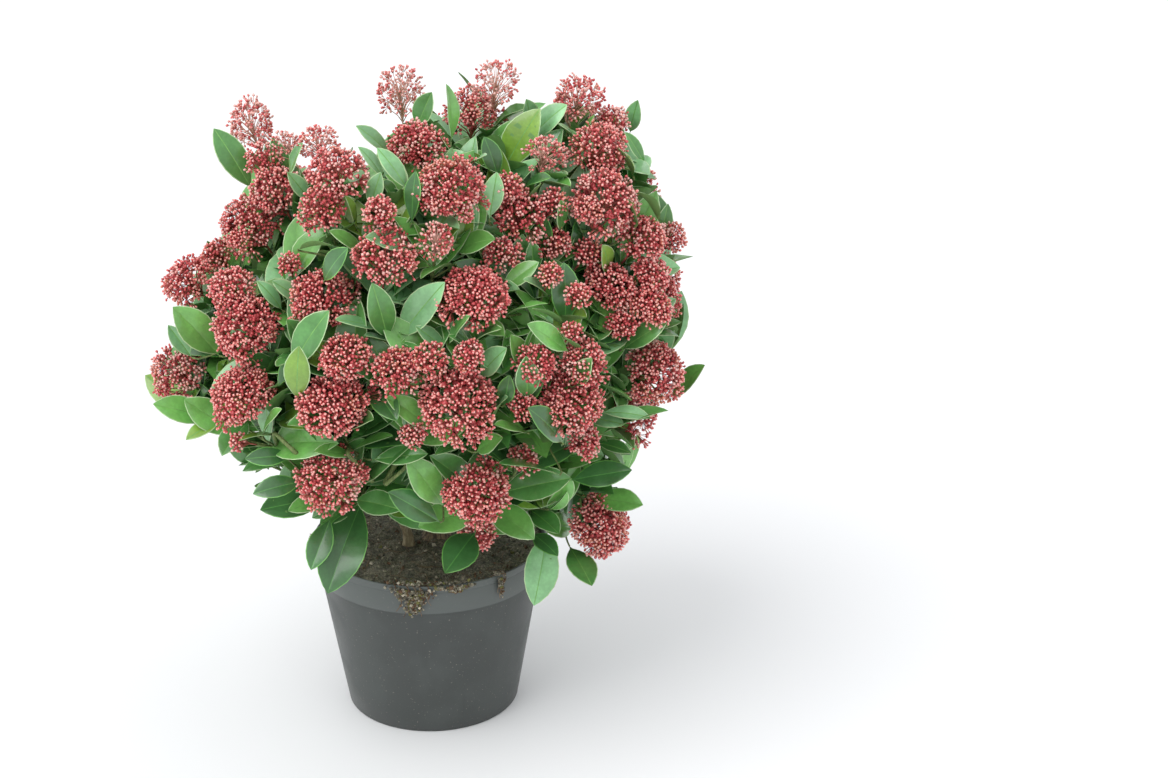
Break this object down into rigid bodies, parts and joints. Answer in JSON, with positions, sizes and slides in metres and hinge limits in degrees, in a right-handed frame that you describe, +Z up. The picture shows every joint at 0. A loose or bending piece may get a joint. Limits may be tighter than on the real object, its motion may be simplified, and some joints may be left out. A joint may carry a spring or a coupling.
{
  "type": "potted skimmia shrub",
  "caption": "Evergreen skimmia shrub with domed heads of small red buds over glossy leaves, on short stems rising from compost in a tapered grey nursery pot.",
  "frame": {"origin": "centre of the pot's flat underside", "axes": "+Z up the plant, -Y towards the side that shows best, +X to the right seen from there"},
  "size_m": [0.5437, 0.4798, 0.6839],
  "materials": {
    "pot": "matt moulded grey plastic",
    "compost": "moist crumbly peaty compost",
    "bark": "finely cracked grey brown bark",
    "young_bark": "smooth green brown young bark",
    "leaf": "glossy leathery leaf",
    "bud": "satin dusty crimson bud",
    "stalk": "satin red brown flower stalk"
  },
  "bodies": {
    "root": {"pot": "pot", "root_ball": "compost", "main_stem": "bark", "side_stem_low_left": "bark", "side_stem_low_right": "bark", "bough_top_left": "young_bark", "bough_top_front": "young_bark", "bough_top_right": "young_bark", "bough_top_back": "young_bark", "bough_left": "young_bark", "bough_front_left": "young_bark", "bough_front_right": "young_bark", "bough_right": "young_bark", "bough_back_right": "young_bark", "bough_back_left": "young_bark", "bough_low_front": "young_bark", "bough_low_back": "young_bark", "foliage_top_left": "leaf", "foliage_top_front": "leaf", "foliage_top_right": "leaf", "foliage_top_back": "leaf", "foliage_left": "leaf", "foliage_front_left": "leaf", "foliage_front_right": "leaf", "foliage_right": "leaf", "foliage_back_right": "leaf", "foliage_back_left": "leaf", "foliage_low_left": "leaf", "foliage_low_front": "leaf", "foliage_low_right": "leaf", "foliage_low_back": "leaf"}
  },
  "joints": []
}
